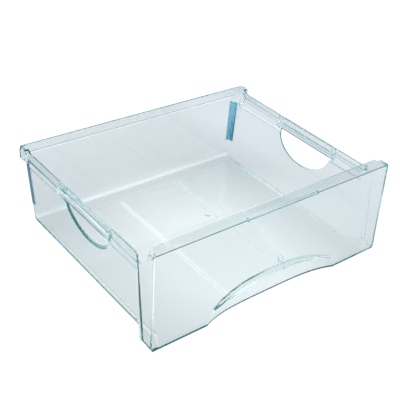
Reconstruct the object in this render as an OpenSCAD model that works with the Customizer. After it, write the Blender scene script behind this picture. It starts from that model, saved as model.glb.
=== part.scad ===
// Freezer drawer: a clear moulded tub with a wide front panel, a half-moon
// hand hole in each side wall, a ribbed grip bar above each hole, an arched
// finger recess low in the front, and a blue strip wrapped round the outside
// of each rear vertical corner.
// X runs across the front, Y runs from the front to the back, Z is up.
// Underside of the floor at Z = 0, origin in the middle of the footprint.

/* [What to draw] */
// which sub-part to draw

/* [Front panel] */
// width of the front panel at its widest, near the top
front_w = 461; // [380:1:560]
// height of the front panel's lower edge above the underside of the floor
front_z0 = 3.6; // [2:0.1:10]
// height of the sharp front edge where the face meets the top flange
front_z1 = 163.2; // [120:0.1:240]
// how far the lower edge stands in front of the upper edge
front_lean = 9.2; // [0:0.1:20]
// depth of the top flange, front to back
lip_d = 18.8; // [10:0.1:40]
// depth of the side returns at rim height, front to back
return_d = 30; // [22:0.5:60]

/* [Tub] */
// wall and floor thickness
wall = 2.5; // [1.5:0.1:4]
// distance from the front edge line to the outside of the back wall
tub_d = 356.5; // [280:0.5:460]
// half width of the tub's side wall, projected to the underside of the floor
tub_half = 209; // [160:0.5:260]
// draft of the side walls in degrees
side_draft = 6; // [1:0.1:10]
// height of the side rims
rim_z = 139.3; // [90:0.1:220]
// height of the back wall
back_z = 146.3; // [90:0.1:240]
// outside radius of the rear vertical corners
corner_r = 4.5; // [3:0.5:30]
// outside radius where the floor turns up into the back wall
base_r = 14; // [5:0.5:30]

/* [Hand holes] */
// length of the half-moon hole along the wall
hole_len = 122; // [80:1:180]
// distance from the front edge line to the middle of the hole
hole_y = 172.8; // [100:0.5:260]
// height of the straight upper edge of the hole
hole_z = 117.8; // [60:0.5:200]
// depth of the half-moon below its straight edge
hole_drop = 43.5; // [20:0.5:80]
// how much smaller the left hole is on the inside of the wall
hole_bevel = 5; // [0:0.1:6]

/* [Finger recess] */
// half width of the arched recess
arch_half = 132; // [60:1:160]
// height of the arch at its middle, on the face
arch_z = 46.5; // [30:0.5:80]
// depth of the recess behind the face at its middle
arch_d = 14.3; // [8:0.5:25]

/* [Corner strips] */
// thickness of a blue strip
strip_t = 0.9; // [0.4:0.1:3]
// height of the lower end of a strip, on the back wall
strip_z0 = 38; // [10:0.5:80]
// height of the upper end of a strip, on the back wall
strip_z1 = 122; // [80:0.5:139]

/* [Hidden] */
clear_tint = [0.78, 0.90, 0.92, 0.45];
strip_blue = [0.36, 0.62, 0.80];
y_front = -front_lean;               // foremost line of the part
y_rear = tub_d + 1.6;                // rearmost line: band round the top of the back wall
y_mid = (y_front + y_rear) / 2;
kx = tan(side_draft);                // outward run of a side wall per mm of height
lean = front_lean / (front_z1 - front_z0);
fh = front_w / 2;
roof_a = 11;                         // slope of the recess's roof, in degrees
rise_y = 22;                         // the floor rises towards the face from here
flare_y = 51.9;                      // where each side wall starts to bend outwards
flare_r = 34;                        // radius of that bend
flare_a = 29.7;                      // angle of the flare to the side wall
big = 600;
hole_n = 36;
grip_y0 = hole_y - hole_len / 2 - 6; // front end of the grip bar
grip_y1 = hole_y + hole_len / 2 + 12; // rear end of the grip bar

function face_y(z) = -front_lean + (z - front_z0) * lean;
function side_x(z) = tub_half + z * kx;
function arch(x) = 20 + (arch_z - 20) * (1 - pow(min(1, abs(x) / arch_half), 2));

// a profile drawn as [y, z], extruded along X and centred on X = 0
module along_x(len) {
  rotate([90, 0, 90]) translate([0, 0, -len / 2]) linear_extrude(len) children();
}
// a profile drawn as [x, z], extruded along Y from y0 to y1
module along_y(y0, y1) {
  translate([0, y1, 0]) rotate([90, 0, 0]) linear_extrude(y1 - y0) children();
}
module both_sides() {
  children();
  mirror([1, 0, 0]) children();
}

// tool that rounds one rear vertical corner of a block whose side wall is
// drafted and whose back wall stands at y = yb; x0 is the side at Z = 0
module corner_tool(x0, yb, r) {
  translate([x0, 0, 0]) rotate([0, side_draft, 0])
    translate([-r * cos(0), yb - r, -20]) difference() {
      cube([r + 30, r + 30, 240]);
      cylinder(r = r, h = 240, $fn = 96);
    }
}

// drafted block of the tub: g shrinks it on the sides, the back and the floor
module tub_block(g, zb, top) {
  xs = tub_half - g / cos(side_draft);
  yb = tub_d - g;
  r = g > 0 ? 4.5 : 2.2;
  s = g > 0 ? 1.1 : 0; // the inside of the rear curve stands a little proud of the wall
  difference() {
    intersection() {
      along_y(-60, tub_d + 40)
        polygon([
          [-(xs + zb * kx - r), zb], [xs + zb * kx - r, zb],
          [xs + (zb + 0.29 * r) * kx - 0.31 * r, zb + 0.29 * r], [xs + (zb + r) * kx, zb + r],
          [xs + top * kx, top], [-(xs + top * kx), top],
          [-(xs + (zb + r) * kx), zb + r], [-(xs + (zb + 0.29 * r) * kx - 0.31 * r), zb + 0.29 * r]]);
      along_x(big)
        polygon([
          [rise_y, zb],
          for (i = [0:9]) let (a = i * 10)
            [yb - s - (base_r - g) * (1 - sin(a)), zb + (base_r - g) * (1 - cos(a))],
          [yb, zb + base_r - g + s], [yb, top], [12, top], [0, zb + 9], [face_y(front_z0) + 0.6 + g, zb + front_z0]]);
    }
    both_sides() corner_tool(xs, yb, corner_r - g);
  }
}

// profile of the side rim, outside (g = 0) or inside (g = wall)
module rim_section(g, top) {
  o = -g;
  polygon([
    [side_x(104) - 6 + o, 104], [side_x(110) + o, 110], [side_x(110) + 1.9 + o, 112.4],
    [side_x(124) + 0.6 + o, 124.5], [226.9 + o, 128.6], [226.9 + o, 131],
    [223.7 + o, 139.2], [223.7 + o, top], [side_x(104) - 6 + o, top]]);
}

// section of the lug at a rear top corner, outside (g = 0) or inside (g = wall)
module lug_section(g, top) {
  polygon([
    [214, 110], [221.2 - g, 115], [230.8 - g, 126.6], [230.8 - g, 141],
    [229.4 - g, 144.6], [226.4 - g, top], [214, top]]);
}

// side rim bulges, the lugs and the band round the top of the back wall
module rim_block(g, top) {
  both_sides() along_y(38 + g, tub_d - 10) rim_section(g, top);
  both_sides() along_y(342 + g, tub_d + 0.4 - g) lug_section(g, top);
  difference() {
    along_x(2 * (222.5 - g)) polygon([
      [tub_d - 14, 128], [tub_d - g - 0.5, 128], [tub_d - g + 1.6, 131.5],
      [tub_d - g + 1.6, top], [tub_d - 14, top]]);
    both_sides() corner_tool(tub_half + 1.6 - g / cos(side_draft), tub_d - g + 1.6, corner_r - g);
  }
}

// outline of the front panel, the top flange and the returns as one block,
// open to the rear; g shrinks it, zb is its lower face
module front_outline(g, zb) {
  w = fh - g;
  intersection() {
    // side view
    along_x(big) polygon([
      [face_y(zb) + g, zb], [-0.5 + g, front_z1 - 2.4 - g * 0.4], [0.3 + g, front_z1 - 0.7 - g],
      [1.6 + g, front_z1 + 0.1 - g], [60, front_z1 + 5.3 - g], [60, zb]]);
    // front view
    along_y(-60, 120) polygon([
      [-(w - 4.4), min(zb, front_z0)], [w - 4.4, min(zb, front_z0)], [w - 2.2, 8.4], [w - 0.8, 60],
      [w, 150], [w - 0.2, 156.6 - g], [w - 2.4, 161.2 - g], [w - 6.2, 164 - g],
      [w - 11, 165.3 - g], [w - 40, 166 - g], [-(w - 40), 166 - g], [-(w - 11), 165.3 - g],
      [-(w - 6.2), 164 - g], [-(w - 2.4), 161.2 - g], [-(w - 0.2), 156.6 - g], [-w, 150],
      [-(w - 0.8), 60], [-(w - 2.2), 8.4]]);
    // plan of the rounded front corners, leaning with the face
    translate([0, g, front_z1]) rotate([-atan(lean), 0, 0]) translate([0, 0, -200]) linear_extrude(300)
      polygon([
        [-w - 3, 90], [-w - 0.4, 5.2], [-w + 0.5, 2.6], [-w + 1.9, 0.8], [-w + 4.2, -0.2],
        [w - 4.2, -0.2], [w - 1.9, 0.8], [w - 0.5, 2.6], [w + 0.4, 5.2], [w + 3, 90]]);
  }
}

// plan of the flare on the +X side, in a frame that leans with the side wall:
// the wall runs straight, bends outwards in an arc and goes on straight
module flare_plan(g) {
  translate([tub_half, 0, 0]) rotate([0, side_draft, 0]) translate([0, 0, -60])
    linear_extrude(300) polygon([
      [-big, 90], [-g - 1.5, 90],
      for (i = [0:5]) let (a = flare_a * i / 5)
        [flare_r - (flare_r + g) * cos(a), flare_y - (flare_r + g) * sin(a)],
      [flare_r - (flare_r + g) * cos(flare_a) + 80 * sin(flare_a),
       flare_y - (flare_r + g) * sin(flare_a) - 80 * cos(flare_a)],
      [-big, -80]]);
}

// front block closed to the rear by the flare, where each side wall spreads out
// to its return; the floor of the flare rises to the front and to the sides
module front_block(g) {
  w = fh - g;
  intersection() {
    front_outline(g, g);
    along_x(big) polygon([
      [-60, front_z0 + g], [face_y(front_z0) + g, front_z0 + g], [rise_y, g], [60, g],
      [60, 230], [-60, 230]]);
    along_y(-60, 120) polygon([
      [-(w + 10), 12.5 + g], [-(tub_half - 4), g], [tub_half - 4, g], [w + 10, 12.5 + g],
      [w + 10, 230], [-(w + 10), 230]]);
    flare_plan(g);
    mirror([1, 0, 0]) flare_plan(g);
  }
}

// side returns: one wall thick, from the face back to their leaning rear edge,
// a free flange behind the line where the flare meets them
module returns() {
  difference() {
    intersection() {
      front_outline(0, 8);
      translate([0, return_d, 132]) rotate([-5.1, 0, 0]) translate([-big / 2, -200, -200]) cube([big, 200, 400]);
    }
    front_outline(wall, 0);
  }
}

// everything above the upper edge line, seen from the side: the rear edge of
// the top flange at y = y0 and z = z0, the swoop of the side return behind it,
// the notch at the foot of the swoop, the side rim and the rise to the back wall
module trim_profile(y0, z0) {
  along_x(big) polygon([
    [y0, 230], [y0, z0], [lip_d - 9.4, 157.5], [lip_d - 7.4, 152.8], [lip_d - 5, 148.3],
    [lip_d - 1.8, 144.2], [lip_d + 2.6, 140.2], [lip_d + 7.2, 136.9], [lip_d + 11.4, 134.5],
    [lip_d + 15, 132.8], [lip_d + 18, 131.9], [lip_d + 19.2, 132.6], [lip_d + 20, 138.4],
    [lip_d + 20.6, rim_z],
    [331, rim_z], [335, rim_z + 0.4], [338.5, rim_z + 1.7], [341.5, rim_z + 3.8],
    [344.5, rim_z + 5.7], [348, rim_z + 6.8], [352, back_z], [tub_d + 60, back_z], [tub_d + 60, 230]]);
}

// the flange keeps its full depth up to its rounded rear corners
module top_trim() {
  difference() {
    trim_profile(lip_d - 9.6, 161.5);
    translate([0, 0, 158]) linear_extrude(80) polygon([
      [-fh - 9, 8.8], [-fh, 8.8], [-fh + 3, 10.6], [-fh + 5.6, 12.7], [-fh + 9, 15.6],
      [-fh + 12.4, 18.2], [-fh + 14, lip_d], [fh - 14, lip_d], [fh - 12.4, 18.2],
      [fh - 9, 15.6], [fh - 5.6, 12.7], [fh - 3, 10.6], [fh, 8.8], [fh + 9, 8.8],
      [fh + 9, 0], [-fh - 9, 0]]);
  }
}

// arched recess low in the face: g grows it by one wall
module recess(g) {
  n = 28;
  a = arch_half - 2 + 2.1 * g;
  intersection() {
    rotate([3.5, 0, 0]) translate([0, 0, -10]) linear_extrude(100)
      polygon([
        for (i = [0:n]) let (x = -a + 2 * a * i / n)
          [x, -front_lean + 0.2 + (arch_d + g) * (1 - pow(abs(x) / a, 4))],
        [a, -40], [-a, -40]]);
    translate([0, -8, 0]) rotate([roof_a, 0, 0]) translate([0, 40, 0]) rotate([90, 0, 0])
      linear_extrude(80)
        polygon([
          for (i = [0:n]) let (x = (arch_half + g) * (-1 + 2 * i / n))
            [x, (arch(x * arch_half / (arch_half + g)) + g) * cos(roof_a)],
          [arch_half + g + 0.8, 16], [arch_half + g + 2.2, 10], [arch_half + g + 3.4, 4],
          [arch_half + g + 3.8, -60], [-arch_half - g - 3.8, -60], [-arch_half - g - 3.4, 4],
          [-arch_half - g - 2.2, 10], [-arch_half - g - 0.8, 16]]);
  }
}

// half-moon seen from the side, as [y, z]; g shrinks its curved edge
module half_moon(g) {
  polygon([
    for (i = [0:hole_n]) let (a = 180 + 180 * i / hole_n)
      [hole_y + (hole_len / 2 - g) * cos(a), hole_z + (hole_drop - g) * sin(a)]]);
}

// hole in the left side wall: full size on the outside, smaller on the inside,
// drawn in a frame that leans with the wall
module bevelled_hole() {
  translate([-tub_half, 0, 0]) rotate([0, -side_draft, 0]) scale([1, 1, 1 / cos(side_draft)]) {
    translate([-6, 0, 0]) along_x(12.02) half_moon(0);
    hull() {
      along_x(0.02) half_moon(0);
      translate([wall, 0, 0]) along_x(0.02) half_moon(hole_bevel);
    }
    translate([wall + 6, 0, 0]) along_x(12.02) half_moon(hole_bevel);
  }
}

// shallow rebate along the middle of the top front edge, deeper at its two ends
module edge_rebate() {
  along_x(139) polygon([
    [-6, front_z1 - 3.2], [0.7, front_z1 - 3.2], [0.7, front_z1 - 1.8], [1.5, front_z1 - 1],
    [2.2, front_z1 - 1], [2.2, front_z1 + 6], [-6, front_z1 + 6]]);
  both_sides() translate([66.9, 0, 0]) rotate([90, 0, 90]) linear_extrude(2.8) polygon([
    [-6, front_z1 - 4.6], [1.1, front_z1 - 4.6], [1.1, front_z1 - 1.6], [3.8, front_z1 - 1.5],
    [3.8, front_z1 + 6], [-6, front_z1 + 6]]);
}

// solid foot, ribs and end plates of one grip bar, on the +X side
module grip_bar() {
  along_y(grip_y0, grip_y1) polygon([
    [220, hole_z], [225.1, hole_z], [225.1, 121.2], [227.2, 121.2], [227.2, 122.8],
    [225.1, 122.8], [225.1, 125.4], [226.9, 126.6], [226.9, 128.6], [220, 128.6]]);
  for (y = [grip_y0, grip_y0 + 7.5, grip_y1 - 9.5, grip_y1 - 2])
    along_y(y, y + 2) polygon([[219, 114.5], [225, 115.2], [227.2, 118], [227.2, 131.4],
      [224.3, 139], [223.4, rim_z], [221.4, rim_z]]);
  along_y(grip_y0, grip_y1) polygon([[222, 135.9], [226.4, 136.1], [226.4, 137.7], [222, 137.9]]);
}

// raised field of the floor with two long ribs
module floor_relief() {
  translate([0, 0, wall - 0.1]) linear_extrude(0.9)
    polygon([[-200, -1.5], [200, -1.5], [200, 317], [194, 322.5], [-194, 322.5], [-200, 317]]);
  for (x = [-61, 61]) translate([x, 0, 0]) along_y(30, 322.5)
    polygon([[-5.4, wall - 0.1], [5.4, wall - 0.1], [5.4, wall + 0.8], [4.2, wall + 1.42], [2.3, wall + 1.95], [0, wall + 2.1],
      [-2.3, wall + 1.95], [-4.2, wall + 1.42], [-5.4, wall + 0.8]]);
  // small round nub beside the right-hand rib
  translate([47, 211, wall - 0.1]) cylinder(r1 = 5, r2 = 4, h = 1.9, $fn = 48);
}

// short curved tab standing behind the arch of the recess
module small_tab() {
  translate([21.5, 9.2, 45.5]) rotate([-4, 0, 0]) difference() {
    cylinder(r = 5.2, h = 10.5, $fn = 48);
    translate([0, 0, -1]) cylinder(r = 2.4, h = 30, $fn = 48);
    translate([-12, -12, -1]) cube([12, 24, 30]);
  }
}

module tub_outside() {
  difference() {
    union() {
      front_block(0);
      returns();
      // lower edge of the face, down to its corners
      intersection() {
        front_outline(0, front_z0);
        translate([-big / 2, -60, 0]) cube([big, 62.5, 20]);
      }
      tub_block(0, 0, 160);
      rim_block(0, 160);
    }
    top_trim();
    recess(0);
  }
}

module tub_inside() {
  difference() {
    union() {
      front_block(wall);
      difference() {
        tub_block(wall, wall, 170);
        // keeps the top flange
        along_x(big) polygon([[-60, 160.4], [1, 160.6], [lip_d + 3, 162.4], [lip_d + 3, 230], [-60, 230]]);
      }
      rim_block(wall, 170);
    }
    recess(1.9);
  }
}

module drawer_tub() {
  color(clear_tint) translate([0, -y_mid, 0]) {
    difference() {
      union() {
        difference() {
          tub_outside();
          tub_inside();
        }
        both_sides() grip_bar();
        difference() {
          floor_relief();
          recess(wall * 0.5);
        }
        difference() {
          small_tab();
          recess(wall * 0.5);
        }
      }
      // hand hole in the right side wall, cut square, and in the left one, bevelled
      translate([big / 2, 0, 0]) along_x(big) half_moon(0);
      bevelled_hole();
      edge_rebate();
    }
  }
}

// sleeve one strip thick round the outside of the tub
module sleeve() {
  difference() {
    tub_block(-strip_t, -strip_t, 150);
    tub_block(0, 0, 160);
  }
}

// side view of a strip as [x, z], its ends cut at a slant
module strip_outline(drop_top, drop_end) {
  along_y(tub_d - 30, tub_d + 20) polygon([
    [190, strip_z0 + drop_end * 0.6], [240, strip_z0 - drop_end * 1.9],
    [240, strip_z1 - drop_top * 1.9], [190, strip_z1 + drop_top * 0.6]]);
}

// strip mostly on the back wall, its outer edge just round the corner
module right_corner_strip() {
  color(strip_blue) translate([0, -y_mid, 0]) intersection() {
    sleeve();
    strip_outline(10, 5);
    translate([0, 0, 10]) linear_extrude(130)
      polygon([[202, tub_d + 20], [260, tub_d + 20], [260, tub_d - 2], [221.5, tub_d - 2],
        [212.5, tub_d - 10.5], [202, tub_d - 10.5]]);
  }
}

// strip mostly on the side wall, its outer edge just round the corner
module left_corner_strip() {
  color(strip_blue) mirror([1, 0, 0]) translate([0, -y_mid, 0]) intersection() {
    sleeve();
    strip_outline(6, 3);
    translate([0, 0, 10]) linear_extrude(130)
      polygon([[206, tub_d + 20], [260, tub_d + 20], [260, tub_d - 12], [206, tub_d - 12]]);
    // stays on the leaning corner: only a narrow flap turns on to the back wall
    translate([tub_half - 6, 0, 0]) rotate([0, side_draft, 0])
      translate([0, tub_d - 40, -20]) cube([60, 80, 240]);
  }
}

drawer_tub();
left_corner_strip();
right_corner_strip();
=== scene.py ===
import math
import bpy
import bmesh
from mathutils import Matrix, Vector

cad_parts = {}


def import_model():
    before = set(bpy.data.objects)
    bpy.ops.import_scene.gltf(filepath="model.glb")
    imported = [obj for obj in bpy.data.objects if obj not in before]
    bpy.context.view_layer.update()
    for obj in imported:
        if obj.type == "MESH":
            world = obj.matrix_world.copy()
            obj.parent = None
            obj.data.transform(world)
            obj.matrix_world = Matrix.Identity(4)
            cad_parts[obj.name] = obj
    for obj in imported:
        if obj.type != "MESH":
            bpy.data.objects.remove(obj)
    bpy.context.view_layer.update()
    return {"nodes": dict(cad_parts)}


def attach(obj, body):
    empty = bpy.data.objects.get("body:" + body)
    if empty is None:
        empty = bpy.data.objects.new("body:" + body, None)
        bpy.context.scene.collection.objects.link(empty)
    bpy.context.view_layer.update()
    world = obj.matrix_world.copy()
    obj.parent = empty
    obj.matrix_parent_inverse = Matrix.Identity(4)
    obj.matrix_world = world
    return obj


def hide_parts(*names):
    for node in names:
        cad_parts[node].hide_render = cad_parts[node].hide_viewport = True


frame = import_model()
scene = bpy.context.scene


# ---------------------------------------------------------------- node helpers
def new_material(name):
    m = bpy.data.materials.new(name)
    m.use_nodes = True
    nt = m.node_tree
    nt.nodes.clear()
    out = nt.nodes.new("ShaderNodeOutputMaterial")
    return m, nt, out


def noise(nt, coord, scale, detail=2.0, rough=0.5):
    n = nt.nodes.new("ShaderNodeTexNoise")
    n.inputs["Scale"].default_value = scale
    n.inputs["Detail"].default_value = detail
    n.inputs["Roughness"].default_value = rough
    nt.links.new(coord, n.inputs["Vector"])
    return n.outputs["Fac"]


def ramp(nt, fac, lo, hi, a, b):
    n = nt.nodes.new("ShaderNodeMapRange")
    n.inputs["From Min"].default_value = lo
    n.inputs["From Max"].default_value = hi
    n.inputs["To Min"].default_value = a
    n.inputs["To Max"].default_value = b
    nt.links.new(fac, n.inputs["Value"])
    return n.outputs["Result"]


# ---------------------------------------------------------------- clear plastic
def clear_plastic():
    m, nt, out = new_material("clear_moulded_plastic")
    p = nt.nodes.new("ShaderNodeBsdfPrincipled")
    p.inputs["Base Color"].default_value = (0.985, 0.992, 0.995, 1)
    p.inputs["Transmission Weight"].default_value = 1.0
    p.inputs["IOR"].default_value = 1.57
    p.inputs["Metallic"].default_value = 0.0
    co = nt.nodes.new("ShaderNodeTexCoord").outputs["Object"]
    haze = noise(nt, co, 34.0, 3.0, 0.6)
    nt.links.new(ramp(nt, haze, 0.35, 0.7, 0.006, 0.03), p.inputs["Roughness"])
    flow = noise(nt, co, 13.0, 1.0, 0.4)
    bump = nt.nodes.new("ShaderNodeBump")
    bump.inputs["Strength"].default_value = 0.03
    bump.inputs["Distance"].default_value = 0.0006
    nt.links.new(flow, bump.inputs["Height"])
    nt.links.new(bump.outputs["Normal"], p.inputs["Normal"])
    v = nt.nodes.new("ShaderNodeVolumeAbsorption")
    v.inputs["Color"].default_value = (0.0, 0.68, 0.685, 1)
    v.inputs["Density"].default_value = 8.6
    nt.links.new(p.outputs["BSDF"], out.inputs["Surface"])
    nt.links.new(v.outputs["Volume"], out.inputs["Volume"])
    return m


def blue_strip(name, dark, pale):
    m, nt, out = new_material(name)
    p = nt.nodes.new("ShaderNodeBsdfPrincipled")
    co = nt.nodes.new("ShaderNodeTexCoord").outputs["Object"]
    tone = noise(nt, co, 60.0, 3.0, 0.55)
    cr = nt.nodes.new("ShaderNodeValToRGB")
    cr.color_ramp.elements[0].position = 0.35
    cr.color_ramp.elements[0].color = (*dark, 1)
    cr.color_ramp.elements[1].position = 0.7
    cr.color_ramp.elements[1].color = (*pale, 1)
    nt.links.new(tone, cr.inputs["Fac"])
    nt.links.new(cr.outputs["Color"], p.inputs["Base Color"])
    nt.links.new(ramp(nt, tone, 0.3, 0.7, 0.38, 0.5), p.inputs["Roughness"])
    nt.links.new(p.outputs["BSDF"], out.inputs["Surface"])
    return m


clear = clear_plastic()
# painted light: both corner strips are the same blue plastic, but the right strip's colour
# is painted far paler and brighter than the left, standing in for the light it loses behind
# the clear wall
blue_l = blue_strip("blue_strip_left", (0.085, 0.27, 0.42), (0.105, 0.31, 0.47))
blue_r_painted_light = blue_strip("blue_strip_right_painted_light", (0.21, 0.70, 0.97), (0.245, 0.76, 0.99))


# ---------------------------------------------------------------- shown pieces
def copy_of(node, name, mat, angle, gap=0.0):
    src = frame["nodes"][node]
    mesh = src.data.copy()
    o = bpy.data.objects.new(name, mesh)
    scene.collection.objects.link(o)
    bm = bmesh.new()
    bm.from_mesh(mesh)
    bmesh.ops.remove_doubles(bm, verts=bm.verts, dist=2e-6)
    bmesh.ops.recalc_face_normals(bm, faces=bm.faces)
    bm.to_mesh(mesh)
    bm.free()
    for a in list(mesh.attributes):
        if a.name in ("custom_normal", "sharp_face", "sharp_edge"):
            mesh.attributes.remove(a)
    mesh.materials.clear()
    mesh.materials.append(mat)
    mesh.shade_smooth()
    mesh.set_sharp_from_angle(angle=math.radians(angle))
    if gap:
        moves = [v.normal.copy() * -gap for v in mesh.vertices]
        for v, d in zip(mesh.vertices, moves):
            v.co += d
    wn = o.modifiers.new("weighted", "WEIGHTED_NORMAL")
    wn.mode = "FACE_AREA"
    wn.weight = 100
    wn.keep_sharp = True
    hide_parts(node)
    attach(o, "root")
    return o


tub = copy_of("drawer_tub", "drawer_shell", clear, 28)
strip_l = copy_of("left_corner_strip", "strip_left", blue_l, 28, 0.00005)
strip_r = copy_of("right_corner_strip", "strip_right", blue_r_painted_light, 28, 0.00005)


# ---------------------------------------------------------------- stage
def stage_floor():
    bm = bmesh.new()
    bmesh.ops.create_circle(bm, cap_ends=True, segments=96, radius=14.0)
    mesh = bpy.data.meshes.new("floor")
    bm.to_mesh(mesh)
    bm.free()
    o = bpy.data.objects.new("floor", mesh)
    o.location = (0, 0, -0.0004)
    scene.collection.objects.link(o)
    m, nt, out = new_material("floor_white")
    place = nt.nodes.new("ShaderNodeNewGeometry").outputs["Position"]
    ln = nt.nodes.new("ShaderNodeVectorMath")
    ln.operation = "DISTANCE"
    ln.inputs[1].default_value = (0.0, -0.06, 0.0)
    nt.links.new(place, ln.inputs[0])
    cr = nt.nodes.new("ShaderNodeValToRGB")
    nt.links.new(ramp(nt, ln.outputs["Value"], 0.0, 1.5, 0.0, 1.0), cr.inputs["Fac"])
    e = cr.color_ramp.elements
    e[0].position = 0.067
    e[0].color = (0.97, 1.02, 1.025, 1)
    e[1].position = 0.60
    e[1].color = (0.09, 0.23, 0.27, 1)
    for at, tone in ((0.10, (0.88, 0.925, 0.94, 1)), (0.15, (0.745, 0.79, 0.81, 1)),
                     (0.20, (0.62, 0.665, 0.70, 1)), (0.31, (0.66, 0.71, 0.75, 1)),
                     (0.38, (0.64, 0.69, 0.73, 1))):
        cr.color_ramp.elements.new(at).color = tone
    em = nt.nodes.new("ShaderNodeEmission")
    nt.links.new(cr.outputs["Color"], em.inputs["Color"])
    xyz = nt.nodes.new("ShaderNodeSeparateXYZ")
    nt.links.new(place, xyz.inputs["Vector"])
    nt.links.new(ramp(nt, xyz.outputs["X"], 0.19, 0.29, 1.0, 1.16), em.inputs["Strength"])
    white = nt.nodes.new("ShaderNodeEmission")
    white.inputs["Strength"].default_value = 1.05
    lp = nt.nodes.new("ShaderNodeLightPath")
    mix = nt.nodes.new("ShaderNodeMixShader")
    nt.links.new(lp.outputs["Is Camera Ray"], mix.inputs["Fac"])
    nt.links.new(em.outputs["Emission"], mix.inputs[1])
    nt.links.new(white.outputs["Emission"], mix.inputs[2])
    nt.links.new(mix.outputs["Shader"], out.inputs["Surface"])
    mesh.materials.append(m)
    return o


stage_floor()


def world():
    w = bpy.data.worlds.new("studio")
    scene.world = w
    w.use_nodes = True
    nt = w.node_tree
    nt.nodes.clear()
    out = nt.nodes.new("ShaderNodeOutputWorld")
    co = nt.nodes.new("ShaderNodeTexCoord").outputs["Generated"]
    sep = nt.nodes.new("ShaderNodeSeparateXYZ")
    nt.links.new(co, sep.inputs["Vector"])
    cr = nt.nodes.new("ShaderNodeValToRGB")
    nt.links.new(ramp(nt, sep.outputs["Z"], -0.1, 1.0, 0.0, 1.0), cr.inputs["Fac"])
    e = cr.color_ramp.elements
    e[0].position = 0.0
    e[0].color = (0.11, 0.26, 0.29, 1)
    e[1].position = 1.0
    e[1].color = (0.12, 0.20, 0.22, 1)
    mid = cr.color_ramp.elements.new(0.45)
    mid.color = (0.08, 0.23, 0.27, 1)
    # a broad soft glow from the front and above
    dot = nt.nodes.new("ShaderNodeVectorMath")
    dot.operation = "DOT_PRODUCT"
    dot.inputs[1].default_value = (0.0, -0.9, 0.436)
    nt.links.new(co, dot.inputs[0])
    glow = nt.nodes.new("ShaderNodeMix")
    glow.data_type = "RGBA"
    nt.links.new(ramp(nt, dot.outputs["Value"], 0.62, 0.97, 0.0, 1.0), glow.inputs["Factor"])
    nt.links.new(cr.outputs["Color"], glow.inputs["A"])
    glow.inputs["B"].default_value = (4.2, 4.2, 4.2, 1)
    studio = nt.nodes.new("ShaderNodeBackground")
    nt.links.new(glow.outputs["Result"], studio.inputs["Color"])
    studio.inputs["Strength"].default_value = 1.0
    white = nt.nodes.new("ShaderNodeBackground")
    white.inputs["Color"].default_value = (1, 1, 1, 1)
    white.inputs["Strength"].default_value = 1.05
    lp = nt.nodes.new("ShaderNodeLightPath")
    mix = nt.nodes.new("ShaderNodeMixShader")
    nt.links.new(lp.outputs["Is Camera Ray"], mix.inputs["Fac"])
    nt.links.new(studio.outputs["Background"], mix.inputs[1])
    nt.links.new(white.outputs["Background"], mix.inputs[2])
    nt.links.new(mix.outputs["Shader"], out.inputs["Surface"])


world()


def area(name, place, aim, size, power, colour=(1, 1, 1)):
    d = bpy.data.lights.new(name, "AREA")
    d.shape = "RECTANGLE"
    d.size, d.size_y = size
    d.energy = power
    d.color = colour
    o = bpy.data.objects.new(name, d)
    scene.collection.objects.link(o)
    o.location = place
    o.rotation_mode = "QUATERNION"
    o.rotation_quaternion = (Vector(aim) - Vector(place)).to_track_quat("-Z", "Y")
    return o


area("rib_glow", (0.1, 1.4, 1.7), (0, 0, 0.0), (1.2, 0.8), 8)
area("low_glow", (1.55, 1.25, 0.17), (0, 0, 0.0), (0.8, 0.35), 1.0)


# ---------------------------------------------------------------- camera
def camera():
    az, el, roll = math.radians(-41.3), math.radians(33.4), math.radians(5.9)
    aim = Vector((0.0139, 0.02365, 0.0531))
    back = Vector((math.sin(az) * math.cos(el), -math.cos(az) * math.cos(el), math.sin(el)))
    right = (-back).cross(Vector((0, 0, 1))).normalized()
    up = right.cross(-back).normalized()
    r = right * math.cos(roll) + up * math.sin(roll)
    u = up * math.cos(roll) - right * math.sin(roll)
    d = bpy.data.cameras.new("cam")
    d.sensor_width = 36.0
    d.lens = 790.0 / 400.0 * 36.0
    d.clip_start, d.clip_end = 0.01, 60.0
    o = bpy.data.objects.new("cam", d)
    scene.collection.objects.link(o)
    m = Matrix((r, u, back)).transposed().to_4x4()
    m.translation = aim + back * 1.3171
    o.matrix_world = m
    scene.camera = o


camera()

scene.view_settings.view_transform = "Standard"
scene.view_settings.look = "None"
scene.cycles.max_bounces = 160
scene.cycles.transmission_bounces = 160
scene.cycles.glossy_bounces = 160
scene.cycles.diffuse_bounces = 4
scene.cycles.transparent_max_bounces = 16
scene.cycles.caustics_reflective = True
scene.cycles.caustics_refractive = True
scene.cycles.use_denoising = True
scene.cycles.sample_clamp_indirect = 2.8
